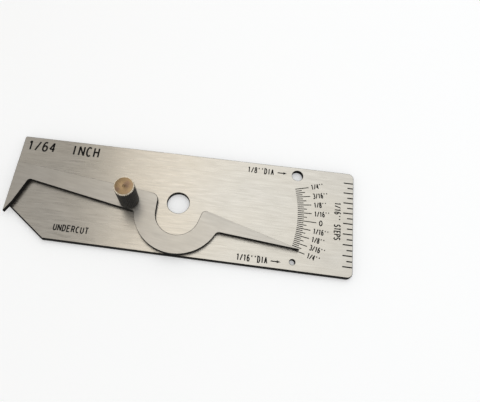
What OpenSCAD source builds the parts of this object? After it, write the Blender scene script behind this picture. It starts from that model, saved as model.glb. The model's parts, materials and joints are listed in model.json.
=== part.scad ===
// Weld gauge: a steel plate with a pointer that swings on a screw under a knurled brass thumb nut.
// The hook end feels the weld and the needle end shows its height on the plate's fan of marks.
// Millimetres. The origin is on the plate's back face, at the axis of its centre hole.
// X runs along the plate towards the scale end, Y across it, Z out of its face.

/* [Base plate] */
// Length of the plate
plate_l = 100.75; // [96:0.25:112]
// Width of the plate, one and a quarter inches
plate_w = 31.75; // [31:0.25:35]
// Thickness of the plate
plate_t = 1.5; // [1.4:0.1:2.5]
// Radius of the two corners at the scale end
scale_corner_r = 1.6; // [0.5:0.1:2.5]
// Radius of the upper corner at the hook end
hook_corner_r = 0.5; // [0.2:0.1:1.5]
// Length of the cut corner along the lower edge
cut_l = 13.4; // [8:0.2:18]
// Height of the cut corner up the hook end
cut_h = 9.5; // [6:0.1:12]
// Diameter of the hole in the middle of the plate
centre_hole_d = 6.5; // [4:0.1:6.6]
// Diameter of the large pore hole, one eighth inch
large_pore_d = 3.175; // [2.5:0.025:4]
// Diameter of the small pore hole, one sixteenth inch
small_pore_d = 1.5875; // [1:0.0125:2]
// Distance of the pore holes from the scale end
pore_from_end = 16.5; // [14:0.1:20]
// Distance of the pore holes from the plate's long edges
pore_inset = 2.6; // [2.5:0.05:4]

/* [Pivot] */
// Distance of the pivot from the hook end
pivot_from_end = 36.4; // [35.5:0.1:37]
// Height of the pivot above the lower edge
pivot_h = 14.3; // [13.5:0.1:15]
// Diameter of the pivot screw
screw_d = 2.5; // [2:0.1:3]
// Diameter of the screw's countersunk head
head_d = 4.7; // [4.2:0.1:4.8]
// Height of the head's straight rim
head_rim = 0.15; // [0.1:0.05:0.2]
// Width of the head's slot
slot_w = 0.7; // [0.5:0.1:1]
// Depth of the head's slot
slot_depth = 0.6; // [0.3:0.1:0.8]
// Length of screw inside the thumb nut
screw_reach = 6; // [4:0.5:8]
// Radial running clearance on the screw
pivot_clear = 0.05; // [0.02:0.01:0.1]
// Clearance of the screw's head in its countersink
seat_clear = 0.02; // [0.01:0.01:0.05]
// Gap between plate, pointer and thumb nut
face_gap = 0.05; // [0.02:0.01:0.1]

/* [Pointer] */
// Thickness of the pointer
pointer_t = 1.5; // [1:0.1:2.5]
// Distance from the pivot to the hook's tip
hook_r = 36.5; // [34.5:0.1:36.6]
// Height of the hook's tip above the lower edge at rest, one quarter inch
rest_reading = 6.35; // [5:0.05:7]
// Length of the hook's outer edge
hook_h = 16; // [14.5:0.1:17]
// Slope of the hook's inner edge, in degrees from its outer edge
hook_lean = 20.8; // [16:0.2:24]
// Distance by which the line of the inner edge passes the hook's tip
hook_offset = 0.6; // [0.3:0.05:1]
// Height of the ground flat that brings the inner edge to the tip
hook_flat_h = 3.2; // [2:0.1:5]
// Radius inside the hook
hook_fillet_r = 1; // [0.5:0.1:2]
// Slope of the arm's upper edge, in degrees
arm_upper_lean = 6.6; // [5:0.1:8]
// Slope of the arm's lower edge, in degrees
arm_lower_lean = 10.4; // [9:0.1:11]
// Distance from the pivot down to the arm's lower edge
arm_below = 2.7; // [2.4:0.1:3.4]
// Distance of the bow's centre from the centre hole towards the scale end
bow_shift = 0.4; // [0:0.1:0.8]
// Distance of the bow's centre below the centre hole
bow_drop = 3; // [2:0.1:3.5]
// Distance of the bow's lowest point inside the lower edge
bow_margin = 0.2; // [0.1:0.1:1]
// Radius of the gap inside the bow
gap_r = 6.3; // [6:0.1:6.8]
// Distance of the gap's centre below the centre hole
gap_drop = 3.9; // [3.4:0.1:4.5]
// Radius of the corner between the arm and the gap
gap_corner_r = 2; // [0.5:0.1:2.5]
// Radius where the bow meets the arm
arm_fillet_r = 0.6; // [0.3:0.1:1]
// Distance from the pivot to the needle's tip
needle_r = 50.1; // [46:0.1:51]
// Direction of the needle's tip at rest, in degrees
needle_turn = -9.5; // [-10:0.1:-8.5]
// Slope of the needle's upper edge, in degrees
needle_upper_lean = 16.3; // [15:0.1:17.5]
// Slope of the needle's lower edge, in degrees
needle_lower_lean = 5.1; // [4.5:0.1:7]
// Radius of the corner between the gap and the needle
needle_corner_r = 1.2; // [0.5:0.1:2]
// Radius where the bow meets the needle
needle_fillet_r = 1.4; // [0.5:0.1:2.5]

/* [Thumb nut] */
// Diameter of the thumb nut
nut_d = 5.7; // [5:0.1:7]
// Height of the thumb nut
nut_h = 10; // [9.2:0.1:13]
// Chamfer at both ends of the thumb nut
nut_chamfer = 0.35; // [0.25:0.05:0.6]
// Number of knurled grooves
knurl_count = 36; // [24:1:48]
// Depth of the knurled grooves
knurl_depth = 0.17; // [0.08:0.01:0.2]
// Depth of the tapped hole past the screw's end
bore_spare = 1; // [0.5:0.1:1.5]
// Diameter of the turned centre mark
centre_mark_d = 0.9; // [0.5:0.1:1.5]

/* [Marks] */
// Width of every mark
mark_w = 0.2; // [0.1:0.02:0.3]
// Depth of every mark
mark_depth = 0.1; // [0.04:0.02:0.2]
// Distance of the fan of marks from the axis of the centre hole
fan_r = 34.6; // [33:0.1:36]
// Steps of the fan to each side of zero, in sixty-fourths of an inch
fan_steps = 16; // [8:4:16]
// Length of the fan's sixty-fourth marks
fan_fine_l = 1.8; // [1:0.1:2.4]
// Length of the fan's thirty-second marks
fan_half_l = 2.7; // [2:0.1:3.4]
// Length of the fan's sixteenth marks
fan_main_l = 4; // [3:0.1:4.6]
// Length of the fan's zero mark
fan_zero_l = 5.4; // [4:0.1:6]
// Number of marks on the scale at the plate's end
edge_marks = 17; // [9:2:17]
// Length of the longer marks at the plate's end
edge_long_l = 2.7; // [2:0.1:3.5]
// Length of the shorter marks at the plate's end
edge_short_l = 1.6; // [1:0.1:2]
// Distance of these marks from the plate's end
edge_inset = 0.15; // [0.1:0.05:0.5]

/* [Hidden] */
$fn = 96;

inch = 25.4;
// A cutter reaches this far past the face that it cuts
past = 1;
// The shapes that make up an outline overlap by this much
lap = 0.2;
// A round reaches this far past tangency, so that it meets its edges in a clean line
bite = 0.001;

hook_end = -plate_l / 2;
scale_end = plate_l / 2;
lower_edge = -plate_w / 2;
upper_edge = plate_w / 2;
pivot = [hook_end + pivot_from_end, lower_edge + pivot_h];

pointer_z = plate_t + face_gap;
nut_z = pointer_z + pointer_t + face_gap;
screw_top = nut_z + screw_reach;
head_taper = (head_d - screw_d) / 2;

function along(a) = [cos(a), sin(a)];
function cross_of(u, v) = u.x * v.y - u.y * v.x;
// Point where the line through p at angle a meets the line through q at angle b
function meet(p, a, q, b) = p + along(a) * cross_of(q - p, along(b)) / cross_of(along(a), along(b));
// Point at distance r from c on the line through p at angle a, the far one if side is 1, the near one if -1
function on_circle(p, a, c, r, side) =
    let (along_line = (c - p) * along(a), off_line = norm(c - p - along_line * along(a)))
    p + along(a) * (along_line + side * sqrt(r * r - off_line * off_line));

// Pointer outline at rest, in the plate's own axes
hook_drop = pivot_h - rest_reading;
hook_tip = pivot - [sqrt(hook_r * hook_r - hook_drop * hook_drop), hook_drop];
hook_top = hook_tip + [0, hook_h];
arm_root = pivot + arm_below * along(-90 - arm_lower_lean);
hook_root = hook_tip + [hook_offset, 0];
hook_flat = hook_root + hook_flat_h / cos(hook_lean) * along(90 - hook_lean);
hook_inside = meet(hook_root, 90 - hook_lean, arm_root, -arm_lower_lean);
bow_c = [bow_shift, -bow_drop];
bow_r = plate_w / 2 - bow_drop - bow_margin;
gap_c = [bow_shift, -gap_drop];
gap_left = gap_c - [gap_r - bite, 0];
gap_right = gap_c + (gap_r - bite) * along(-needle_upper_lean);
needle_tip = pivot + needle_r * along(needle_turn);
arm_corner = meet(hook_top, -arm_upper_lean, gap_left, 90);
needle_corner = meet(gap_right, 90 - needle_upper_lean, needle_tip, -needle_upper_lean);
arm_joint = on_circle(arm_root, -arm_lower_lean, bow_c, bow_r, -1);
needle_joint = on_circle(needle_tip, -needle_lower_lean, bow_c, bow_r, 1);

// Turn of the pointer from rest when its hook stands at height h above the lower edge
function pointer_turn(h) = asin((pivot_h - h) / hook_r) - asin(hook_drop / hook_r);
// Point where the needle then crosses the inner end of the fan of marks
function fan_point(h) = on_circle(pivot, needle_turn + pointer_turn(h), [0, 0], fan_r, 1);
// Length of the fan's mark number i, counted from zero
function fan_l(i) = i == 0 ? fan_zero_l : i % 4 == 0 ? fan_main_l : i % 2 == 0 ? fan_half_l : fan_fine_l;

// Sliver between a round of radius r and the corner at p whose sides run at angles a and b
module corner_sliver(p, a, b, r) {
    half = abs(b - a) / 2;
    middle = (a + b) / 2;
    c = p + r / sin(half) * along(middle);
    reach = r + lap;
    difference() {
        polygon([
            c,
            c + reach * along(middle + 90 + half),
            c - reach / sin(half) * along(middle),
            c + reach * along(middle - 90 - half)
        ]);
        translate(c) circle(r = r + bite);
    }
}

// Sliver that rounds the inside corner between the bow and a straight edge through p at slope lean
module bow_sliver(p, lean, joint, side, r) {
    down = along(-90 - lean);
    c = on_circle(p + r * down, -lean, bow_c, bow_r + r, side);
    difference() {
        polygon([
            c,
            c - (r + lap) * down,
            joint - lap * down + lap / bow_r * (bow_c - joint),
            bow_c + (c - bow_c) * (bow_r - lap) / (bow_r + r)
        ]);
        translate(c) circle(r = r + bite);
    }
}

module plate_outline() {
    difference() {
        polygon([
            [hook_end + cut_l, lower_edge],
            [scale_end, lower_edge],
            [scale_end, upper_edge],
            [hook_end, upper_edge],
            [hook_end, lower_edge + cut_h]
        ]);
        corner_sliver([scale_end, lower_edge], 90, 180, scale_corner_r);
        corner_sliver([scale_end, upper_edge], 180, 270, scale_corner_r);
        corner_sliver([hook_end, upper_edge], 270, 360, hook_corner_r);
    }
}

module plate_hole(x, y, d) {
    translate([x, y, -past]) cylinder(d = d, h = plate_t + 2 * past);
}

// Groove of length l in the plate's face, from point p in direction a
module mark(p, a, l) {
    translate([p.x, p.y, plate_t - mark_depth])
        rotate(a) translate([0, -mark_w / 2, 0]) cube([l, mark_w, mark_depth + past]);
}

// Fan of marks, each where the needle stands when the hook's tip is that far from the lower edge
module fan_scale() {
    for (i = [-fan_steps : fan_steps]) {
        p = fan_point(i * inch / 64);
        mark(p, atan2(p.y, p.x), fan_l(i));
    }
}

// Sixteenths of an inch along the plate's end, every second one longer
module edge_scale() {
    for (i = [0 : edge_marks - 1]) {
        y = (i - (edge_marks - 1) / 2) * inch / 16;
        mark([scale_end - edge_inset, y], 180, i % 2 == 0 ? edge_long_l : edge_short_l);
    }
}

module base_plate() {
    color([0.74, 0.72, 0.68])
    difference() {
        linear_extrude(plate_t) plate_outline();
        plate_hole(0, 0, centre_hole_d);
        plate_hole(scale_end - pore_from_end, upper_edge - pore_inset, large_pore_d);
        plate_hole(scale_end - pore_from_end, lower_edge + pore_inset, small_pore_d);
        plate_hole(pivot.x, pivot.y, screw_d + 2 * seat_clear);
        translate([pivot.x, pivot.y, -past]) cylinder(d = head_d + 2 * seat_clear, h = past + head_rim);
        translate([pivot.x, pivot.y, head_rim])
            cylinder(d1 = head_d + 2 * seat_clear, d2 = screw_d + 2 * seat_clear, h = head_taper);
        fan_scale();
        edge_scale();
    }
}

// Sheet cut to a flat outline, from height z and t thick
module sheet(z, t) {
    translate([0, 0, z]) linear_extrude(t) children();
}

module pointer_cut() {
    sheet(pointer_z - past, pointer_t + 2 * past) children();
}

module arm_and_needle() {
    polygon([
        hook_tip,
        hook_top,
        arm_corner,
        needle_corner,
        needle_tip,
        needle_joint - lap * along(-needle_lower_lean),
        arm_joint + lap * along(-arm_lower_lean),
        hook_inside,
        hook_flat
    ]);
}

// Lower part of a disc, which carries the pointer round the centre hole
module bow() {
    intersection() {
        translate(bow_c) circle(r = bow_r);
        polygon([
            arm_joint + [0, lap],
            needle_joint + [0, lap],
            needle_joint - [0, 2 * bow_r],
            arm_joint - [0, 2 * bow_r]
        ]);
    }
}

// Mouth of the gap between the arm and the needle
module gap_mouth() {
    polygon([
        gap_left,
        arm_corner + [0, past],
        needle_corner + past * along(90 - needle_upper_lean),
        gap_right,
        gap_c
    ]);
}

module pointer() {
    color([0.66, 0.64, 0.61])
    difference() {
        union() {
            sheet(pointer_z, pointer_t) arm_and_needle();
            sheet(pointer_z, pointer_t) bow();
            sheet(pointer_z, pointer_t)
                corner_sliver(hook_inside, 270 - hook_lean, 360 - arm_lower_lean, hook_fillet_r);
            sheet(pointer_z, pointer_t)
                bow_sliver(arm_root, arm_lower_lean, arm_joint, -1, arm_fillet_r);
            sheet(pointer_z, pointer_t)
                bow_sliver(needle_tip, needle_lower_lean, needle_joint, 1, needle_fillet_r);
        }
        pointer_cut() gap_mouth();
        pointer_cut() translate(gap_c) circle(r = gap_r);
        pointer_cut() corner_sliver(arm_corner, 180 - arm_upper_lean, 270, gap_corner_r);
        pointer_cut()
            corner_sliver(needle_corner, 270 - needle_upper_lean, 360 - needle_upper_lean, needle_corner_r);
        pointer_cut() translate(pivot) circle(d = screw_d + 2 * pivot_clear);
    }
}

module pivot_screw() {
    color([0.62, 0.61, 0.6])
    translate([pivot.x, pivot.y, 0])
    difference() {
        union() {
            cylinder(d = head_d, h = head_rim);
            translate([0, 0, head_rim]) cylinder(d1 = head_d, d2 = screw_d, h = head_taper);
            cylinder(d = screw_d, h = screw_top);
        }
        translate([-head_d, -slot_w / 2, -past]) cube([2 * head_d, slot_w, past + slot_depth]);
    }
}

module knurl_groove() {
    side = sqrt(2) * (knurl_depth + past);
    translate([nut_d / 2 - knurl_depth, 0, -past])
        rotate(-45) cube([side, side, nut_h + 2 * past]);
}

module thumb_nut() {
    color([0.62, 0.44, 0.22])
    translate([pivot.x, pivot.y, nut_z])
    difference() {
        rotate_extrude() polygon([
            [0, 0],
            [nut_d / 2 - nut_chamfer, 0],
            [nut_d / 2, nut_chamfer],
            [nut_d / 2, nut_h - nut_chamfer],
            [nut_d / 2 - nut_chamfer, nut_h],
            [0, nut_h]
        ]);
        for (i = [0 : knurl_count - 1]) rotate(i * 360 / knurl_count) knurl_groove();
        translate([0, 0, -past]) cylinder(d = screw_d + 2 * pivot_clear, h = past + screw_reach + bore_spare);
        translate([0, 0, nut_h - centre_mark_d / 2]) cylinder(d1 = 0, d2 = centre_mark_d, h = centre_mark_d / 2);
    }
}

base_plate();
pointer();
pivot_screw();
thumb_nut();
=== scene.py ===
import json
import math

import bmesh
import bpy
from mathutils import Matrix, Vector

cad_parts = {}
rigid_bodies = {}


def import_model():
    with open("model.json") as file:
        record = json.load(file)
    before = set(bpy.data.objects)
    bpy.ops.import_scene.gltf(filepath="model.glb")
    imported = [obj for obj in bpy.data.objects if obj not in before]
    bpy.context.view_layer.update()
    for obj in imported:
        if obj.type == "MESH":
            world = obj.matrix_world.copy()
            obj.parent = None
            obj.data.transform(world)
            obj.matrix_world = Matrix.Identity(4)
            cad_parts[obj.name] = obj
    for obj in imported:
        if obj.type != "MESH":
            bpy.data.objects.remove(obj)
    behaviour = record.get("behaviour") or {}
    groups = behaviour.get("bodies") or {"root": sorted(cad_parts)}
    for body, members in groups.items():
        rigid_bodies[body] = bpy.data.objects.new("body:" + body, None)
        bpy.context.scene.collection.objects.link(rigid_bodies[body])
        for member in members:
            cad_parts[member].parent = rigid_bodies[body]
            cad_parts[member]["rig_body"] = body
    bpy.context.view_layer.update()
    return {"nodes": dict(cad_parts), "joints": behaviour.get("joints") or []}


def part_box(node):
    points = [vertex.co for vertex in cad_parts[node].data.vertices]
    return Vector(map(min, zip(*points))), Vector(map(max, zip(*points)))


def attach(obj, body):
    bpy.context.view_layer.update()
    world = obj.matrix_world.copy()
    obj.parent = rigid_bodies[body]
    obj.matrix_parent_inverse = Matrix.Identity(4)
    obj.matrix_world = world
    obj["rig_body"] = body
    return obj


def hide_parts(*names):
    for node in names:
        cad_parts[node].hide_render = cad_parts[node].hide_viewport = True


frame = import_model()
nodes = frame["nodes"]
print("frame loaded:", sorted(nodes))

mm = 0.001
plateLow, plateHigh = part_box("base_plate")
plateTop = plateHigh.z
pivot = Vector(frame["joints"][0]["pos_m"])


# node helpers, each returns the socket that carries its result
def addNode(tree, kind, **settings):
    node = tree.nodes.new(kind)
    for key, value in settings.items():
        setattr(node, key, value)
    return node


def feed(tree, socket, value):
    if isinstance(value, bpy.types.NodeSocket):
        tree.links.new(value, socket)
    else:
        socket.default_value = value


def calc(tree, operation, a, b=0.0):
    node = addNode(tree, "ShaderNodeMath", operation=operation)
    feed(tree, node.inputs[0], a)
    feed(tree, node.inputs[1], b)
    return node.outputs[0]


def spread(tree, value, fromRange, toRange):
    node = addNode(tree, "ShaderNodeMapRange", interpolation_type="SMOOTHSTEP")
    feed(tree, node.inputs["Value"], value)
    node.inputs["From Min"].default_value = fromRange[0]
    node.inputs["From Max"].default_value = fromRange[1]
    node.inputs["To Min"].default_value = toRange[0]
    node.inputs["To Max"].default_value = toRange[1]
    return node.outputs["Result"]


def blendTones(tree, share, toneA, toneB):
    node = addNode(tree, "ShaderNodeMix", data_type="RGBA")
    feed(tree, node.inputs["Factor"], share)
    for name, tone in (("A", toneA), ("B", toneB)):
        socket = [s for s in node.inputs if s.name == name and s.type == "RGBA"][0]
        feed(tree, socket, tone if isinstance(tone, bpy.types.NodeSocket) else (*tone, 1.0))
    return [s for s in node.outputs if s.type == "RGBA"][0]


# share of A and B by a mask that runs from 0 to 1
def blendValues(tree, share, a, b):
    rest = calc(tree, "SUBTRACT", 1.0, share)
    return calc(tree, "ADD", calc(tree, "MULTIPLY", rest, a), calc(tree, "MULTIPLY", share, b))


noiseBand = (0.3, 0.7)  # most of a noise's values lie between these


# noise stretched by a different number of cells per metre along each axis
def streaks(tree, place, cells, turn=0.0, detail=2.0):
    mapping = addNode(tree, "ShaderNodeMapping")
    feed(tree, mapping.inputs["Vector"], place)
    mapping.inputs["Rotation"].default_value = (0.0, 0.0, -turn)
    squeeze = addNode(tree, "ShaderNodeVectorMath", operation="MULTIPLY")
    feed(tree, squeeze.inputs[0], mapping.outputs["Vector"])
    squeeze.inputs[1].default_value = cells
    noise = addNode(tree, "ShaderNodeTexNoise")
    noise.inputs["Scale"].default_value = 1.0
    noise.inputs["Detail"].default_value = detail
    feed(tree, noise.inputs["Vector"], squeeze.outputs["Vector"])
    return noise.outputs["Fac"]


def startMaterial(name):
    material = bpy.data.materials.new(name)
    material.use_nodes = True
    tree = material.node_tree
    shader = [n for n in tree.nodes if n.type == "BSDF_PRINCIPLED"][0]
    return material, tree, shader


def facingUp(tree, coords):
    split = addNode(tree, "ShaderNodeSeparateXYZ")
    feed(tree, split.inputs[0], coords.outputs["Normal"])
    return split.outputs["Z"]


def roughen(tree, shader, height, strength, depth):
    bump = addNode(tree, "ShaderNodeBump")
    bump.inputs["Strength"].default_value = strength
    bump.inputs["Distance"].default_value = depth
    feed(tree, bump.inputs["Height"], height)
    feed(tree, shader.inputs["Normal"], bump.outputs["Normal"])


# sheet steel: brushed faces, and cut edges whose near-black colour is partly dark cut-edge oxide and partly
# painted shade, told apart by the way the surface faces
def brushedSheet(name, look):
    material, tree, shader = startMaterial(name)
    coords = addNode(tree, "ShaderNodeTexCoord")
    place = coords.outputs["Object"]
    fine = streaks(tree, place, look["fineGrain"], look["grainTurn"], detail=3.0)
    coarse = streaks(tree, place, look["coarseGrain"], look["grainTurn"])
    cloud = streaks(tree, place, look["cloud"])
    grain = blendValues(tree, look["coarseShare"], fine, coarse)
    face = blendTones(tree, spread(tree, grain, noiseBand, (0.0, 1.0)), look["dark"], look["light"])
    face = blendTones(tree, spread(tree, cloud, noiseBand, (0.0, look["stainShare"])), face, look["stain"])
    flat = spread(tree, calc(tree, "ABSOLUTE", facingUp(tree, coords)), look["flatBand"], (0.0, 1.0))
    cut = streaks(tree, place, look["cutLines"], detail=3.0)
    edgeTone = spread(tree, cut, look["cutBand"], (0.0, 1.0))
    # near-black colour of walls and broken edges: partly cut-edge oxide, partly painted shade
    edge = blendTones(tree, edgeTone, look["edgeOxideAndShadeDark"], look["edgeOxideAndShadeLight"])
    feed(tree, shader.inputs["Base Color"], blendTones(tree, flat, edge, face))
    faceRough = spread(tree, fine, noiseBand, look["roughness"])
    edgeRough = spread(tree, cut, noiseBand, look["edgeRoughness"])
    feed(tree, shader.inputs["Roughness"], blendValues(tree, flat, edgeRough, faceRough))
    feed(tree, shader.inputs["Metallic"], flat)
    shader.inputs["Specular IOR Level"].default_value = look["edgeShine"]
    shader.inputs["Anisotropic"].default_value = look["anisotropy"]
    tangent = addNode(tree, "ShaderNodeTangent", direction_type="RADIAL", axis="X")
    feed(tree, shader.inputs["Tangent"], tangent.outputs[0])
    roughen(tree, shader, blendValues(tree, flat, cut, grain), look["ridgeStrength"], look["ridgeDepth"])
    return material


# how edges are found and broken, angles in degrees
easing = {
    "weld": 1e-7,
    "flatAngle": 0.5,
    "sharpAngle": 35,
    "shadeAngle": 15,
    "segments": 2,
}


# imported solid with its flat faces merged
def mergedSolid(mesh):
    work = bmesh.new()
    work.from_mesh(mesh)
    bmesh.ops.remove_doubles(work, verts=work.verts, dist=easing["weld"])
    flatAngle = math.radians(easing["flatAngle"])
    bmesh.ops.dissolve_limit(work, angle_limit=flatAngle, verts=work.verts, edges=work.edges)
    return work


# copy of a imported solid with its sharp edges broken, each by its own share
def easedCopy(name, nodeName, edgeBreak, shareOf=lambda edge: 1.0, limited=True):
    source = nodes[nodeName]
    mesh = source.data.copy()
    if mesh.has_custom_normals:
        mesh.attributes.remove(mesh.attributes["custom_normal"])
    work = mergedSolid(mesh)
    shares = work.edges.layers.float.new("bevel_weight_edge")
    for edge in work.edges:
        if len(edge.link_faces) == 2 and edge.calc_face_angle(0.0) > math.radians(easing["sharpAngle"]):
            edge[shares] = shareOf(edge)
    work.to_mesh(mesh)
    piece = bpy.data.objects.new(name, mesh)
    bpy.context.scene.collection.objects.link(piece)
    bevel = piece.modifiers.new("edgeBreak", "BEVEL")
    bevel.limit_method = "WEIGHT"
    bevel.width = edgeBreak
    bevel.segments = easing["segments"]
    bevel.loop_slide = False
    bevel.use_clamp_overlap = limited
    bevelled = piece.evaluated_get(bpy.context.evaluated_depsgraph_get())
    eased = bpy.data.meshes.new_from_object(bevelled)
    piece.modifiers.clear()
    work.clear()
    work.from_mesh(eased)
    bmesh.ops.triangulate(work, faces=[f for f in work.faces if len(f.verts) > 4])
    bmesh.ops.recalc_face_normals(work, faces=work.faces)
    work.to_mesh(eased)
    work.free()
    eased.name = name
    eased.materials.clear()
    eased.shade_smooth()
    eased.set_sharp_from_angle(angle=math.radians(easing["shadeAngle"]))
    piece.data = eased
    bpy.data.meshes.remove(mesh)
    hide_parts(nodeName)
    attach(piece, source["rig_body"])
    return piece


plateLook = {
    "light": (0.610, 0.570, 0.506),
    "dark": (0.500, 0.464, 0.406),
    "stain": (0.555, 0.504, 0.420),
    "stainShare": 0.4,
    "fineGrain": (170.0, 5600.0, 5600.0),
    "coarseGrain": (200.0, 1300.0, 1300.0),
    "coarseShare": 0.5,
    "cloud": (38.0, 55.0, 55.0),
    "grainTurn": 0.0,
    "roughness": (0.26, 0.38),
    "anisotropy": 0.55,
    "ridgeStrength": 0.07,
    "ridgeDepth": 0.02 * mm,
    "flatBand": (0.93, 0.985),  # how far up a surface faces where the cut edge ends and the face starts
    "cutLines": (4200.0, 4200.0, 260.0),
    "cutBand": (0.3, 0.75),
    # near-black edge tones: partly dark cut-edge oxide, partly painted shade on the walls and broken edges
    "edgeOxideAndShadeDark": (0.006, 0.006, 0.006),
    "edgeOxideAndShadeLight": (0.030, 0.028, 0.026),
    "edgeRoughness": (0.42, 0.62),
    "edgeShine": 0.03,
    "edgeBreak": 0.3 * mm,
    "smallShare": 0.4,
    "cutShare": 1.35,
    "cutFacing": -0.3,
    "longEdge": 5 * mm,
    "frontLine": -14 * mm,
    "markLayer": 1.3 * mm,
    "seatRadius": 2.6 * mm,
}


# the cut corner and the front edge are broken most, so that a wider band of painted shade in the dark edge
# colour runs along them; engraved marks and the screw's seat not at all
def plateShare(edge):
    lowest = [min(v.co.z for v in face.verts) for face in edge.link_faces]
    inMark = min(lowest) > plateLook["markLayer"]
    inSeat = all((v.co.xy - pivot.xy).length < plateLook["seatRadius"] for v in edge.verts)
    if inMark or inSeat:
        return 0.0
    wall = min(edge.link_faces, key=lambda face: abs(face.normal.z))
    onFace = min(v.co.z for v in edge.verts) > plateLook["markLayer"]
    inFront = max(v.co.y for v in edge.verts) < plateLook["frontLine"]
    outer = onFace and (inFront or edge.calc_length() > plateLook["longEdge"])
    if outer and max(wall.normal.x, wall.normal.y) < plateLook["cutFacing"]:
        return plateLook["cutShare"]
    return max(plateLook["smallShare"], -wall.normal.y) if outer else plateLook["smallShare"]


plate = easedCopy("gaugePlate", "base_plate", plateLook["edgeBreak"], plateShare, limited=False)
plate.data.materials.append(brushedSheet("plateSteel", plateLook))
print("plate finished:", len(plate.data.polygons), "faces")

pointerLook = dict(plateLook)
pointerLook.update({
    "light": (0.562, 0.528, 0.474),
    "dark": (0.462, 0.431, 0.384),
    "stain": (0.512, 0.468, 0.398),
    "grainTurn": math.radians(-8),
    "roughness": (0.34, 0.46),
    "anisotropy": 0.25,
    "edgeBreak": 0.14 * mm,
    "smallShare": 0.36,
    "bowReach": 11 * mm,
    "topLayer": 0.1 * mm,
})
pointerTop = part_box("pointer")[1].z


# the upper edge inside the bow is broken most, so that a line of painted shade in the dark edge colour runs
# there
def pointerShare(edge):
    middle = (edge.verts[0].co + edge.verts[1].co) / 2
    onTop = middle.z > pointerTop - pointerLook["topLayer"]
    inBow = onTop and middle.xy.length < pointerLook["bowReach"]
    return 1.0 if inBow else pointerLook["smallShare"]


pointer = easedCopy("gaugePointer", "pointer", pointerLook["edgeBreak"], pointerShare)
pointer.data.materials.append(brushedSheet("pointerSteel", pointerLook))
print("pointer finished:", len(pointer.data.polygons), "faces")


# distance of a point from the pivot's axis, for what was turned on a lathe
def turnedRadius(tree, coords):
    shift = addNode(tree, "ShaderNodeVectorMath", operation="SUBTRACT")
    feed(tree, shift.inputs[0], coords.outputs["Object"])
    shift.inputs[1].default_value = (pivot.x, pivot.y, 0.0)
    flatten = addNode(tree, "ShaderNodeVectorMath", operation="MULTIPLY")
    feed(tree, flatten.inputs[0], shift.outputs["Vector"])
    flatten.inputs[1].default_value = (1.0, 1.0, 0.0)
    length = addNode(tree, "ShaderNodeVectorMath", operation="LENGTH")
    feed(tree, length.inputs[0], flatten.outputs["Vector"])
    return length.outputs["Value"]


# rings left by the turning tool
def toolRings(tree, radius, pitch):
    noise = addNode(tree, "ShaderNodeTexNoise", noise_dimensions="1D")
    noise.inputs["Scale"].default_value = 1.0
    noise.inputs["Detail"].default_value = 2.0
    feed(tree, noise.inputs["W"], calc(tree, "MULTIPLY", radius, 1.0 / pitch))
    return noise.outputs["Fac"]


nutLook = {
    "brassLight": (0.405, 0.285, 0.152),
    "brassDark": (0.245, 0.166, 0.098),
    "tarnish": (0.235, 0.150, 0.115),
    "tarnishBand": (0.42, 0.68),
    "tarnishShare": 0.62,
    # pale rim tone: a painted highlight on the top's outer edge, partly the lighter brass of a polished
    # chamfer
    "rim": (0.87, 0.78, 0.62),
    "rimWidth": 0.33 * mm,
    "rimBlur": 0.04 * mm,
    "rimWearBand": (0.4, 0.65),
    "rimWear": (1.0, 0.5),
    "rimRoughness": 0.34,
    # near-black side tone: painted shade, partly dark oxide in the grooves
    "black": (0.010, 0.011, 0.013),
    "worn": (0.120, 0.098, 0.072),
    "ridgeBand": (0.06 * mm, 0.005 * mm),
    "wearBand": (0.45, 0.7),
    "wearShare": (0.05, 0.8),
    "topBand": (0.35, 0.6),  # how far up a surface faces where the side ends and the top starts
    "ringPitch": 0.11 * mm,
    "patches": (520.0, 520.0, 520.0),
    "grime": (1900.0, 1900.0, 1100.0),
    "topRoughness": (0.26, 0.42),
    "sideRoughness": (0.34, 0.55),
    "sideShine": 0.3,
    "ridgeStrength": 0.12,
    "ridgeDepth": 0.03 * mm,
    "edgeBreak": 0.03 * mm,
}


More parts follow.
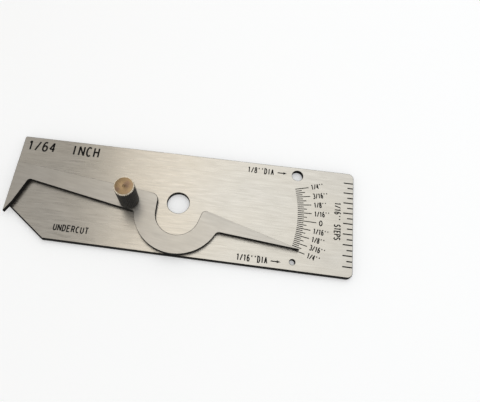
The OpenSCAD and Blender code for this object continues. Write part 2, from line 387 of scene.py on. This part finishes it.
# brass with a turned top, a pale rim that is a painted highlight over partly polished brass, and a
# near-black side that is painted shade, partly dark oxide, worn on its ridges
def nutBrass(name, look):
    material, tree, shader = startMaterial(name)
    coords = addNode(tree, "ShaderNodeTexCoord")
    low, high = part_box("thumb_nut")
    outside = (high.x - low.x) / 2
    radius = turnedRadius(tree, coords)
    rings = toolRings(tree, radius, look["ringPitch"])
    patches = streaks(tree, coords.outputs["Object"], look["patches"])
    brass = blendTones(tree, rings, look["brassDark"], look["brassLight"])
    tarnished = spread(tree, patches, look["tarnishBand"], (0.0, look["tarnishShare"]))
    brass = blendTones(tree, tarnished, brass, look["tarnish"])
    rimStart = outside - look["rimWidth"]
    # pale ring round the top's outer edge: painted highlight over partly polished brass, mottled by grime
    rim = spread(tree, radius, (rimStart - look["rimBlur"], rimStart + look["rimBlur"]), (0.0, 1.0))
    grime = streaks(tree, coords.outputs["Object"], look["grime"], detail=4.0)
    rim = calc(tree, "MULTIPLY", rim, spread(tree, grime, look["rimWearBand"], look["rimWear"]))
    brass = blendTones(tree, rim, brass, look["rim"])
    ridge = spread(tree, radius, [outside - depth for depth in look["ridgeBand"]], (0.0, 1.0))
    wear = calc(tree, "MULTIPLY", ridge, spread(tree, grime, look["wearBand"], look["wearShare"]))
    # near-black side, painted shade partly dark oxide, lighter where the ridges are worn
    side = blendTones(tree, wear, look["black"], look["worn"])
    top = spread(tree, facingUp(tree, coords), look["topBand"], (0.0, 1.0))
    feed(tree, shader.inputs["Base Color"], blendTones(tree, top, side, brass))
    topRough = spread(tree, rings, noiseBand, look["topRoughness"])
    sideRough = spread(tree, grime, noiseBand, look["sideRoughness"])
    topRough = blendValues(tree, rim, topRough, look["rimRoughness"])
    feed(tree, shader.inputs["Roughness"], blendValues(tree, top, sideRough, topRough))
    feed(tree, shader.inputs["Metallic"], calc(tree, "MAXIMUM", top, wear))
    shader.inputs["Specular IOR Level"].default_value = look["sideShine"]
    roughen(tree, shader, calc(tree, "ADD", rings, grime), look["ridgeStrength"], look["ridgeDepth"])
    return material


nut = easedCopy("thumbNut", "thumb_nut", nutLook["edgeBreak"])
nut.data.materials.append(nutBrass("nutBrass", nutLook))
print("thumb nut finished:", len(nut.data.polygons), "faces")

screwLook = {
    "light": (0.57, 0.555, 0.53),
    "dark": (0.38, 0.37, 0.35),
    "ringPitch": 0.09 * mm,
    "roughness": (0.24, 0.40),
    "ridgeStrength": 0.15,
    "ridgeDepth": 0.02 * mm,
    "edgeBreak": 0.03 * mm,
}


def turnedSteel(name, look):
    material, tree, shader = startMaterial(name)
    coords = addNode(tree, "ShaderNodeTexCoord")
    rings = toolRings(tree, turnedRadius(tree, coords), look["ringPitch"])
    feed(tree, shader.inputs["Base Color"], blendTones(tree, rings, look["dark"], look["light"]))
    feed(tree, shader.inputs["Roughness"], spread(tree, rings, noiseBand, look["roughness"]))
    shader.inputs["Metallic"].default_value = 1.0
    roughen(tree, shader, rings, look["ridgeStrength"], look["ridgeDepth"])
    return material


screw = easedCopy("pivotScrew", "pivot_screw", screwLook["edgeBreak"])
screw.data.materials.append(turnedSteel("screwSteel", screwLook))
print("screw finished:", len(screw.data.polygons), "faces")

# black fill of the engraved marks, and the black of the etched words
inkLook = {
    "black": (0.004, 0.004, 0.004),
    "grey": (0.022, 0.021, 0.020),
    "grain": (2500.0, 9000.0, 9000.0),
    "grainBand": (0.35, 0.75),
    "roughness": 0.55,
    "shine": 0.08,
    "proud": 0.006 * mm,
    "sunk": 0.006 * mm,
    "fillDepth": 0.02 * mm,
    "leastDepth": 0.01 * mm,
    "levelFace": 0.99,
    "fanLip": 0.03 * mm,
    "endLip": 0.08 * mm,
    "endReach": 6 * mm,
}


def etchedBlack(name, look):
    material, tree, shader = startMaterial(name)
    coords = addNode(tree, "ShaderNodeTexCoord")
    speck = streaks(tree, coords.outputs["Object"], look["grain"], detail=3.0)
    greyShare = spread(tree, speck, look["grainBand"], (0.0, 1.0))
    feed(tree, shader.inputs["Base Color"], blendTones(tree, greyShare, look["black"], look["grey"]))
    shader.inputs["Roughness"].default_value = look["roughness"]
    shader.inputs["Specular IOR Level"].default_value = look["shine"]
    return material


inkMaterial = etchedBlack("etchedBlack", inkLook)


# prism between two heights over a flat outline
def addPrism(work, outline, low, high):
    lower = [work.verts.new((p.x, p.y, low)) for p in outline]
    upper = [work.verts.new((p.x, p.y, high)) for p in outline]
    work.faces.new(list(reversed(lower)))
    work.faces.new(upper)
    for i in range(len(outline)):
        j = (i + 1) % len(outline)
        work.faces.new((lower[i], lower[j], upper[j], upper[i]))


def finishMarks(name, work):
    mesh = bpy.data.meshes.new(name)
    bmesh.ops.recalc_face_normals(work, faces=work.faces)
    work.to_mesh(mesh)
    work.free()
    mesh.materials.append(inkMaterial)
    piece = bpy.data.objects.new(name, mesh)
    bpy.context.scene.collection.objects.link(piece)
    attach(piece, "base")
    return piece


# floors of the grooves that the plate's solid carries, each as a list of corners
def grooveFloors():
    work = mergedSolid(nodes["base_plate"].data)
    highest = plateTop - inkLook["leastDepth"]
    floors = []
    for face in work.faces:
        level = face.normal.z > inkLook["levelFace"]
        if level and plateLook["markLayer"] < face.calc_center_median().z < highest:
            floors.append([v.co.copy() for v in face.verts])
    work.free()
    return floors


def lengthOf(floor):
    return max((a - b).length for a in floor for b in floor)


# black that has spread over the two long lips of a groove
def addLips(work, floor):
    corners = [p.xy for p in floor]
    middle = sum(corners, Vector((0, 0))) / len(corners)
    nearEnd = middle.x > plateHigh.x - inkLook["endReach"]
    width = inkLook["endLip"] if nearEnd else inkLook["fanLip"]
    for a, b in zip(corners, corners[1:] + corners[:1]):
        if (b - a).length > lengthOf(floor) / 2:
            away = Vector((b.y - a.y, a.x - b.x)).normalized()
            away = away if away.dot(a - middle) > 0 else -away
            inner = away * inkLook["sunk"]
            outline = [a - inner, b - inner, b + away * width, a + away * width]
            addPrism(work, outline, plateTop - inkLook["sunk"], plateTop + inkLook["proud"])


floors = grooveFloors()
work = bmesh.new()
for floor in floors:
    addPrism(work, floor, floor[0].z, plateTop - inkLook["fillDepth"])
    addLips(work, floor)
finishMarks("markFill", work)
print("marks filled:", len(floors))


lettering = {
    "arcStep": 30,
    "leastSteps": 4,
    "cellShare": 0.64,
    "longestMitre": 2.0,
    "ringGap": 0.1,
}


# points along an arc, angles in degrees
def arc(x, y, rx, ry, start, end):
    steps = max(lettering["leastSteps"], round(abs(end - start) / lettering["arcStep"]))
    angles = [math.radians(start + (end - start) * i / steps) for i in range(steps + 1)]
    return [(x + rx * math.cos(a), y + ry * math.sin(a)) for a in angles]


def ring(x, y, rx, ry):
    return arc(x, y, rx, ry, 90, 450)


# strokes of the engraver's letters, in a cell one wide and one high; a stroke ends at a sharp corner
bowl = [(0.05, 0.0), (0.05, 1.0), (0.55, 1.0)] + arc(0.55, 0.75, 0.4, 0.25, 90, -90)[1:] + [(0.05, 0.5)]
letterStrokes = {
    "0": [ring(0.5, 0.5, 0.46, 0.5)],
    "1": [[(0.2, 0.78), (0.55, 1.0)], [(0.55, 1.0), (0.55, 0.0)]],
    "3": [arc(0.45, 0.76, 0.42, 0.24, 150, -90), arc(0.45, 0.26, 0.48, 0.26, 90, -150)],
    "4": [[(0.72, 0.0), (0.72, 1.0)], [(0.72, 1.0), (0.0, 0.3)], [(0.0, 0.3), (1.0, 0.3)]],
    "6": [ring(0.5, 0.3, 0.46, 0.3), arc(0.56, 0.38, 0.52, 0.62, 172, 62)],
    "8": [ring(0.5, 0.76, 0.38, 0.24), ring(0.5, 0.26, 0.46, 0.26)],
    "/": [[(0.08, 0.0), (0.92, 1.0)]],
    "'": [[(0.5, 1.0), (0.4, 0.76)]],
    "A": [[(0.0, 0.0), (0.5, 1.0)], [(0.5, 1.0), (1.0, 0.0)], [(0.18, 0.34), (0.82, 0.34)]],
    "C": [arc(0.52, 0.5, 0.48, 0.5, 48, 312)],
    "D": [[(0.05, 1.0), (0.45, 1.0)] + arc(0.45, 0.5, 0.5, 0.5, 90, -90)[1:] + [(0.05, 0.0), (0.05, 1.0)]],
    "E": [[(0.95, 1.0), (0.05, 1.0), (0.05, 0.0), (0.95, 0.0)], [(0.05, 0.52), (0.8, 0.52)]],
    "H": [[(0.05, 0.0), (0.05, 1.0)], [(0.95, 0.0), (0.95, 1.0)], [(0.05, 0.52), (0.95, 0.52)]],
    "I": [[(0.5, 0.0), (0.5, 1.0)]],
    "N": [[(0.0, 0.0), (0.0, 1.0)], [(0.0, 1.0), (1.0, 0.0)], [(1.0, 0.0), (1.0, 1.0)]],
    "P": [bowl],
    "R": [bowl, [(0.5, 0.5), (0.98, 0.0)]],
    "S": [arc(0.5, 0.75, 0.44, 0.25, 25, 270) + arc(0.5, 0.25, 0.48, 0.25, 90, -155)[1:]],
    "T": [[(0.0, 1.0), (1.0, 1.0)], [(0.5, 1.0), (0.5, 0.0)]],
    "U": [[(0.05, 1.0), (0.05, 0.3)] + arc(0.5, 0.3, 0.45, 0.3, 180, 360)[1:] + [(0.95, 1.0)]],
}


# the two sides of a stroke of the given width, mitred at its corners
def strokeSides(points, width, closed):
    count = len(points)
    left, right = [], []
    for i, point in enumerate(points):
        ahead = points[(i + 1) % count] - point if closed or i < count - 1 else None
        behind = point - points[i - 1] if closed or i > 0 else ahead
        runIn = behind.normalized()
        runOut = (ahead or behind).normalized()
        run = (runIn + runOut).normalized()
        reach = width / 2 / max(run.dot(runOut), 1.0 / lettering["longestMitre"])
        side = Vector((-run.y, run.x)) * reach
        left.append(point + side)
        right.append(point - side)
    return left, right


# prism along a stroke, a ring where its ends meet
def addStroke(work, points, width, low, high):
    closed = (points[0] - points[-1]).length < width * lettering["ringGap"]
    points = points[:-1] if closed else points
    left, right = strokeSides(points, width, closed)
    corners = [[work.verts.new((p.x, p.y, z)) for p in side] for side in (left, right) for z in (low, high)]
    leftLow, leftHigh, rightLow, rightHigh = corners
    count = len(points)
    for i in range(count if closed else count - 1):
        j = (i + 1) % count
        work.faces.new((leftHigh[i], leftHigh[j], rightHigh[j], rightHigh[i]))
        work.faces.new((leftLow[j], leftLow[i], rightLow[i], rightLow[j]))
        work.faces.new((leftLow[i], leftLow[j], leftHigh[j], leftHigh[i]))
        work.faces.new((rightLow[j], rightLow[i], rightHigh[i], rightHigh[j]))
    if not closed:
        for i in (0, -1):
            work.faces.new((leftLow[i], leftHigh[i], rightHigh[i], rightLow[i]))


# words from the middle of their left end, one letter for each step of the pitch
def addWords(work, words, start, angle, height, pitch, width):
    turn = Matrix.Rotation(angle, 2)
    cell = pitch * lettering["cellShare"]
    low = plateTop - inkLook["sunk"]
    high = plateTop + inkLook["proud"]
    for i, letter in enumerate(words):
        for stroke in letterStrokes.get(letter, []):
            points = [Vector((i * pitch + x * cell, (y - 0.5) * height)) for x, y in stroke]
            addStroke(work, [start + turn @ p for p in points], width, low, high)


fanFigures = {
    "figures": ["1/4''", "3/16''", "1/8''", "1/16''", "0", "1/16''", "1/8''", "3/16''", "1/4''"],
    "markLength": 3.5 * mm,
    "gap": 0.85 * mm,
    "height": 1.5 * mm,
    "pitch": 0.76 * mm,
    "zeroPitch": 1.3 * mm,
    "strokeWidth": 0.29 * mm,
}


# figures stand beyond the outer ends of the fan's longer marks, in line with them
def addFanFigures(work):
    ends = []
    for floor in floors:
        if lengthOf(floor) > fanFigures["markLength"]:
            outer = sorted(floor, key=lambda p: p.xy.length)[-2:]
            ends.append((outer[0].xy + outer[1].xy) / 2)
    ends.sort(key=lambda p: -math.atan2(p.y, p.x))
    for end, figure in zip(ends, fanFigures["figures"]):
        start = end + end.normalized() * fanFigures["gap"]
        pitch = fanFigures["zeroPitch"] if figure == "0" else fanFigures["pitch"]
        addWords(work, figure, start, math.atan2(end.y, end.x), fanFigures["height"], pitch,
                 fanFigures["strokeWidth"])


work = bmesh.new()
addFanFigures(work)
figurePiece = finishMarks("fanFigures", work)
print("fan figures done:", len(figurePiece.data.polygons), "faces")


# point on the plate's face in mm, from its lower corner at the hook end
def onPlate(x, y):
    return Vector((plateLow.x + x * mm, plateLow.y + y * mm))


# each word: text, middle of its left end, turn in degrees, height, pitch and stroke width in mm
wordMarks = {
    "largePoreWord": ("1/8''DIA", (69.5, 29.4), 0, 1.75, 0.99, 0.31),
    "smallPoreWord": ("1/16''DIA", (68.9, 2.15), 0, 1.75, 0.97, 0.33),
    "edgeScaleWord": ("1/16'' STEPS", (96.3, 22.0), -90, 1.65, 0.97, 0.32),
    "hookWord": ("UNDERCUT", (16.1, 3.9), 0, 1.75, 1.32, 0.34),
    "unitWord": ("1/64  INCH", (1.6, 28.9), 0, 3.0, 2.3, 0.52),
}
for name, (words, start, turn, height, pitch, width) in wordMarks.items():
    work = bmesh.new()
    addWords(work, words, onPlate(*start), math.radians(turn), height * mm, pitch * mm, width * mm)
    finishMarks(name, work)

# places and sizes on the plate in mm
arrowMarks = {
    "tails": ((78.3, 29.4), (78.3, 2.15)),
    "length": 2.8,
    "headLength": 1.1,
    "headWidth": 0.8,
    "lineWidth": 0.33,
}


def addArrow(work, tail):
    neck = tail[0] + arrowMarks["length"] - arrowMarks["headLength"]
    half = arrowMarks["headWidth"] / 2
    thin = arrowMarks["lineWidth"] / 2
    outline = [(tail[0], -thin), (neck, -thin), (neck, -half), (tail[0] + arrowMarks["length"], 0.0),
               (neck, half), (neck, thin), (tail[0], thin)]
    points = [onPlate(x, tail[1] + y) for x, y in outline]
    addPrism(work, points, plateTop - inkLook["sunk"], plateTop + inkLook["proud"])


work = bmesh.new()
for tail in arrowMarks["tails"]:
    addArrow(work, tail)
finishMarks("poreArrows", work)
print("words and arrows done:", len(wordMarks), "words")

studio = {
    "floorTone": (0.90, 0.90, 0.895),
    "floorRoughness": 0.8,
    "floorShine": 0.1,
    "floorGlow": (0.31, 0.376),
    "glowReach": (0.35, 0.9),
    "floorSize": 6.0,
    "floorDrop": 0.02 * mm,
    "skyHorizon": 0.85,
    "skyTop": 0.44,
    "skyBand": (0.05, 0.75),
    "boxes": {
        "dimBox": {"middle": (-0.285, 0.16, 0.42), "size": (0.11, 0.62), "power": 0.016,
                   "tone": (1.0, 0.985, 0.97)},
        "warmBox": {"middle": (-0.080, 0.16, 0.42), "size": (0.11, 0.62), "power": 0.067,
                    "tone": (1.0, 0.955, 0.88)},
        "coolBox": {"middle": (0.195, 0.16, 0.42), "size": (0.44, 0.62), "power": 0.252,
                    "tone": (0.915, 0.96, 1.0)},
    },
    "boxTilt": -21,
    "boxSpread": 90,
}


# pale floor, lifted to near white for the camera and for what mirrors it,
# a little more where the light of the boxes fades
def makeFloor():
    half = studio["floorSize"] / 2
    mesh = bpy.data.meshes.new("floor")
    corners = [(-half, -half), (half, -half), (half, half), (-half, half)]
    mesh.from_pydata([(x, y, -studio["floorDrop"]) for x, y in corners], [], [(0, 1, 2, 3)])
    material, tree, shader = startMaterial("paleFloor")
    shader.inputs["Base Color"].default_value = (*studio["floorTone"], 1.0)
    shader.inputs["Roughness"].default_value = studio["floorRoughness"]
    shader.inputs["Specular IOR Level"].default_value = studio["floorShine"]
    shader.inputs["Emission Color"].default_value = (1.0, 1.0, 1.0, 1.0)
    ray = addNode(tree, "ShaderNodeLightPath")
    seen = calc(tree, "MAXIMUM", ray.outputs["Is Camera Ray"], ray.outputs["Is Glossy Ray"])
    seen = calc(tree, "MAXIMUM", seen, ray.outputs["Is Transmission Ray"])
    coords = addNode(tree, "ShaderNodeTexCoord")
    away = addNode(tree, "ShaderNodeVectorMath", operation="LENGTH")
    feed(tree, away.inputs[0], coords.outputs["Object"])
    glow = spread(tree, away.outputs["Value"], studio["glowReach"], studio["floorGlow"])
    feed(tree, shader.inputs["Emission Strength"], calc(tree, "MULTIPLY", seen, glow))
    mesh.materials.append(material)
    floor = bpy.data.objects.new("floor", mesh)
    bpy.context.scene.collection.objects.link(floor)


# pale room, lighter near the horizon
def makeSky():
    world = bpy.data.worlds.new("studio")
    world.use_nodes = True
    bpy.context.scene.world = world
    tree = world.node_tree
    background = [n for n in tree.nodes if n.type == "BACKGROUND"][0]
    coords = addNode(tree, "ShaderNodeTexCoord")
    split = addNode(tree, "ShaderNodeSeparateXYZ")
    feed(tree, split.inputs[0], coords.outputs["Generated"])
    levels = (studio["skyHorizon"], studio["skyTop"])
    level = spread(tree, split.outputs["Z"], studio["skyBand"], levels)
    feed(tree, background.inputs["Strength"], level)
    background.inputs["Color"].default_value = (1.0, 1.0, 1.0, 1.0)


def makeSoftBox(name, settings):
    lamp = bpy.data.lights.new(name, "AREA")
    lamp.shape = "RECTANGLE"
    lamp.size, lamp.size_y = settings["size"]
    lamp.energy = settings["power"]
    lamp.color = settings["tone"]
    lamp.spread = math.radians(studio["boxSpread"])
    box = bpy.data.objects.new(name, lamp)
    box.location = settings["middle"]
    box.rotation_euler.x = math.radians(studio["boxTilt"])
    bpy.context.scene.collection.objects.link(box)


makeFloor()
makeSky()
for boxName, settings in studio["boxes"].items():
    makeSoftBox(boxName, settings)
print("studio ready")

# the photograph's viewpoint; the shift frames the gauge left of the middle
viewpoint = {
    "location": (0.01399, -0.04794, 0.12394),
    "turn": (22.2, 0.556, 7.805),
    "lens": 33.99,
    "sensor": 36.0,
    "shiftX": 0.0844,
    "clip": (0.005, 20.0),
}
lensData = bpy.data.cameras.new("camera")
lensData.lens = viewpoint["lens"]
lensData.sensor_width = viewpoint["sensor"]
lensData.shift_x = viewpoint["shiftX"]
lensData.clip_start, lensData.clip_end = viewpoint["clip"]
camera = bpy.data.objects.new("camera", lensData)
camera.location = viewpoint["location"]
camera.rotation_euler = [math.radians(a) for a in viewpoint["turn"]]
bpy.context.scene.collection.objects.link(camera)
bpy.context.scene.camera = camera
bpy.context.scene.view_settings.view_transform = "Standard"
print("camera set")
